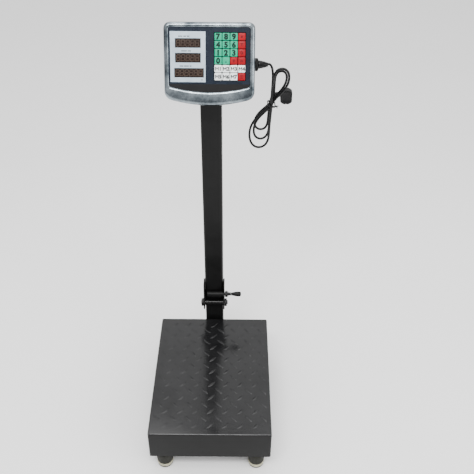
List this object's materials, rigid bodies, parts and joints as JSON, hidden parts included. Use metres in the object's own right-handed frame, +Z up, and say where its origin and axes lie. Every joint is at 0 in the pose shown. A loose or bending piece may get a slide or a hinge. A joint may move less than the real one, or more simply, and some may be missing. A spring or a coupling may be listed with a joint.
{
  "type": "platform shipping scale",
  "caption": "Platform weighing scale with a tread-plate platform on levelling feet, a folding square mast and a tilting indicator head with keys, displays and a tied mains lead.",
  "frame": {"origin": "centre of the footprint, without the cord, at the underside of the feet", "axes": "+Z up, +X to the right, the front of the scale faces -Y, the mast stands at +Y"},
  "size_m": [0.336, 0.456, 0.9967],
  "materials": {
    "black_powder_coat": "satin black powder coat on steel",
    "tread_plate_paint": "semi-gloss black paint on raised-lug tread plate",
    "zinc_plate": "dull zinc plating",
    "cell_aluminium": "milled",
    "foot_rubber": "matt moulded rubber",
    "plated_bezel": "bright plated moulding",
    "black_abs": "fine-textured moulded plastic",
    "face_acrylic": "smooth blue-black panel",
    "silver_label": "silver-blue printed film",
    "circuit_board": "green solder mask",
    "battery_case": "moulded",
    "cord_pvc": "satin extruded PVC",
    "key_green": "moulded",
    "key_red": "moulded",
    "key_white": "moulded"
  },
  "bodies": {
    "base": {"base_rail_left": "black_powder_coat", "base_rail_right": "black_powder_coat", "base_crossbar_front": "black_powder_coat", "base_crossbar_rear": "black_powder_coat", "spine_beam": "black_powder_coat", "load_cell": "cell_aluminium", "mast_stub": "black_powder_coat", "hinge_bracket": "black_powder_coat", "pivot_bolt": "zinc_plate", "pivot_nut": "zinc_plate"},
    "platform": {"platform_pan": "tread_plate_paint", "platform_spider": "black_powder_coat"},
    "column": {"mast_tube": "black_powder_coat", "hinge_plate": "black_powder_coat", "lock_tube": "black_powder_coat", "head_bracket": "black_powder_coat", "tilt_bolt": "zinc_plate"},
    "lock": {"lock_rod": "zinc_plate", "lock_grip": "black_abs"},
    "head": {"front_shell": "plated_bezel", "rear_shell": "black_abs", "face_panel": "face_acrylic", "display_label": "silver_label", "main_board": "circuit_board", "battery": "battery_case", "power_inlet": "black_abs", "tilt_lug": "black_powder_coat", "power_connector": "cord_pvc", "cord_lead": "cord_pvc", "cord_hank": "cord_pvc", "mains_plug": "cord_pvc"},
    "power_switch": {"rocker_switch": "black_abs"},
    "foot_front_left": {"levelling_foot_front_left": "foot_rubber"},
    "foot_front_right": {"levelling_foot_front_right": "foot_rubber"},
    "foot_rear_left": {"levelling_foot_rear_left": "foot_rubber"},
    "foot_rear_right": {"levelling_foot_rear_right": "foot_rubber"},
    "key_7_cap": {"key_7": "key_green"},
    "key_8_cap": {"key_8": "key_green"},
    "key_9_cap": {"key_9": "key_green"},
    "key_clear_cap": {"key_clear": "key_red"},
    "key_4_cap": {"key_4": "key_green"},
    "key_5_cap": {"key_5": "key_green"},
    "key_6_cap": {"key_6": "key_green"},
    "key_tare_cap": {"key_tare": "key_red"},
    "key_1_cap": {"key_1": "key_green"},
    "key_2_cap": {"key_2": "key_green"},
    "key_3_cap": {"key_3": "key_green"},
    "key_zero_cap": {"key_zero": "key_red"},
    "key_0_cap": {"key_0": "key_green"},
    "key_point_cap": {"key_point": "key_green"},
    "key_add_cap": {"key_add": "key_red"},
    "key_change_cap": {"key_change": "key_red"},
    "key_m1_cap": {"key_m1": "key_white"},
    "key_m2_cap": {"key_m2": "key_white"},
    "key_m3_cap": {"key_m3": "key_white"},
    "key_m4_cap": {"key_m4": "key_white"},
    "key_m5_cap": {"key_m5": "key_white"},
    "key_m6_cap": {"key_m6": "key_white"},
    "key_m7_cap": {"key_m7": "key_white"},
    "key_total_cap": {"key_total": "key_red"}
  },
  "joints": [
    {"name": "platform_dip", "type": "slide", "parent": "base", "child": "platform", "axis": [0, 0, -1], "range_m": [0, 0.0006], "stiffness_N_per_m": 1000000, "springref_m": -0.0001},
    {"name": "column_fold", "type": "hinge", "parent": "base", "child": "column", "pos_m": [0, 0.17, 0.2045], "axis": [1, 0, 0], "range_deg": [0, 90]},
    {"name": "lock_turn", "type": "hinge", "parent": "column", "child": "lock", "pos_m": [0, 0.1697, 0.2355], "axis": [1, 0, 0], "range_deg": [0, 120]},
    {"name": "head_tilt", "type": "hinge", "parent": "column", "child": "head", "pos_m": [0, 0.209, 0.896], "axis": [-1, 0, 0], "range_deg": [-8, 25]},
    {"name": "power_switch_tip", "type": "hinge", "parent": "head", "child": "power_switch", "pos_m": [-0.092, 0.17384, 0.90483], "axis": [0, 0.9272, -0.3746], "range_deg": [0, 14]},
    {"name": "foot_front_left_turn", "type": "hinge", "parent": "base", "child": "foot_front_left", "pos_m": [-0.115, -0.206, 0], "axis": [0, 0, 1], "range_deg": [-360, 360]},
    {"name": "foot_front_right_turn", "type": "hinge", "parent": "base", "child": "foot_front_right", "pos_m": [0.115, -0.206, 0], "axis": [0, 0, 1], "range_deg": [-360, 360]},
    {"name": "foot_rear_left_turn", "type": "hinge", "parent": "base", "child": "foot_rear_left", "pos_m": [-0.115, 0.138, 0], "axis": [0, 0, 1], "range_deg": [-360, 360]},
    {"name": "foot_rear_right_turn", "type": "hinge", "parent": "base", "child": "foot_rear_right", "pos_m": [0.115, 0.138, 0], "axis": [0, 0, 1], "range_deg": [-360, 360]},
    {"name": "key_7_press", "type": "slide", "parent": "head", "child": "key_7_cap", "axis": [0, 0.9272, -0.3746], "range_m": [0, 0.0012], "stiffness_N_per_m": 600, "springref_m": -0.0008},
    {"name": "key_8_press", "type": "slide", "parent": "head", "child": "key_8_cap", "axis": [0, 0.9272, -0.3746], "range_m": [0, 0.0012], "stiffness_N_per_m": 600, "springref_m": -0.0008},
    {"name": "key_9_press", "type": "slide", "parent": "head", "child": "key_9_cap", "axis": [0, 0.9272, -0.3746], "range_m": [0, 0.0012], "stiffness_N_per_m": 600, "springref_m": -0.0008},
    {"name": "key_clear_press", "type": "slide", "parent": "head", "child": "key_clear_cap", "axis": [0, 0.9272, -0.3746], "range_m": [0, 0.0012], "stiffness_N_per_m": 600, "springref_m": -0.0008},
    {"name": "key_4_press", "type": "slide", "parent": "head", "child": "key_4_cap", "axis": [0, 0.9272, -0.3746], "range_m": [0, 0.0012], "stiffness_N_per_m": 600, "springref_m": -0.0008},
    {"name": "key_5_press", "type": "slide", "parent": "head", "child": "key_5_cap", "axis": [0, 0.9272, -0.3746], "range_m": [0, 0.0012], "stiffness_N_per_m": 600, "springref_m": -0.0008},
    {"name": "key_6_press", "type": "slide", "parent": "head", "child": "key_6_cap", "axis": [0, 0.9272, -0.3746], "range_m": [0, 0.0012], "stiffness_N_per_m": 600, "springref_m": -0.0008},
    {"name": "key_tare_press", "type": "slide", "parent": "head", "child": "key_tare_cap", "axis": [0, 0.9272, -0.3746], "range_m": [0, 0.0012], "stiffness_N_per_m": 600, "springref_m": -0.0008},
    {"name": "key_1_press", "type": "slide", "parent": "head", "child": "key_1_cap", "axis": [0, 0.9272, -0.3746], "range_m": [0, 0.0012], "stiffness_N_per_m": 600, "springref_m": -0.0008},
    {"name": "key_2_press", "type": "slide", "parent": "head", "child": "key_2_cap", "axis": [0, 0.9272, -0.3746], "range_m": [0, 0.0012], "stiffness_N_per_m": 600, "springref_m": -0.0008},
    {"name": "key_3_press", "type": "slide", "parent": "head", "child": "key_3_cap", "axis": [0, 0.9272, -0.3746], "range_m": [0, 0.0012], "stiffness_N_per_m": 600, "springref_m": -0.0008},
    {"name": "key_zero_press", "type": "slide", "parent": "head", "child": "key_zero_cap", "axis": [0, 0.9272, -0.3746], "range_m": [0, 0.0012], "stiffness_N_per_m": 600, "springref_m": -0.0008},
    {"name": "key_0_press", "type": "slide", "parent": "head", "child": "key_0_cap", "axis": [0, 0.9272, -0.3746], "range_m": [0, 0.0012], "stiffness_N_per_m": 600, "springref_m": -0.0008},
    {"name": "key_point_press", "type": "slide", "parent": "head", "child": "key_point_cap", "axis": [0, 0.9272, -0.3746], "range_m": [0, 0.0012], "stiffness_N_per_m": 600, "springref_m": -0.0008},
    {"name": "key_add_press", "type": "slide", "parent": "head", "child": "key_add_cap", "axis": [0, 0.9272, -0.3746], "range_m": [0, 0.0012], "stiffness_N_per_m": 600, "springref_m": -0.0008},
    {"name": "key_change_press", "type": "slide", "parent": "head", "child": "key_change_cap", "axis": [0, 0.9272, -0.3746], "range_m": [0, 0.0012], "stiffness_N_per_m": 600, "springref_m": -0.0008},
    {"name": "key_m1_press", "type": "slide", "parent": "head", "child": "key_m1_cap", "axis": [0, 0.9272, -0.3746], "range_m": [0, 0.0012], "stiffness_N_per_m": 600, "springref_m": -0.0008},
    {"name": "key_m2_press", "type": "slide", "parent": "head", "child": "key_m2_cap", "axis": [0, 0.9272, -0.3746], "range_m": [0, 0.0012], "stiffness_N_per_m": 600, "springref_m": -0.0008},
    {"name": "key_m3_press", "type": "slide", "parent": "head", "child": "key_m3_cap", "axis": [0, 0.9272, -0.3746], "range_m": [0, 0.0012], "stiffness_N_per_m": 600, "springref_m": -0.0008},
    {"name": "key_m4_press", "type": "slide", "parent": "head", "child": "key_m4_cap", "axis": [0, 0.9272, -0.3746], "range_m": [0, 0.0012], "stiffness_N_per_m": 600, "springref_m": -0.0008},
    {"name": "key_m5_press", "type": "slide", "parent": "head", "child": "key_m5_cap", "axis": [0, 0.9272, -0.3746], "range_m": [0, 0.0012], "stiffness_N_per_m": 600, "springref_m": -0.0008},
    {"name": "key_m6_press", "type": "slide", "parent": "head", "child": "key_m6_cap", "axis": [0, 0.9272, -0.3746], "range_m": [0, 0.0012], "stiffness_N_per_m": 600, "springref_m": -0.0008},
    {"name": "key_m7_press", "type": "slide", "parent": "head", "child": "key_m7_cap", "axis": [0, 0.9272, -0.3746], "range_m": [0, 0.0012], "stiffness_N_per_m": 600, "springref_m": -0.0008},
    {"name": "key_total_press", "type": "slide", "parent": "head", "child": "key_total_cap", "axis": [0, 0.9272, -0.3746], "range_m": [0, 0.0012], "stiffness_N_per_m": 600, "springref_m": -0.0008}
  ]
}
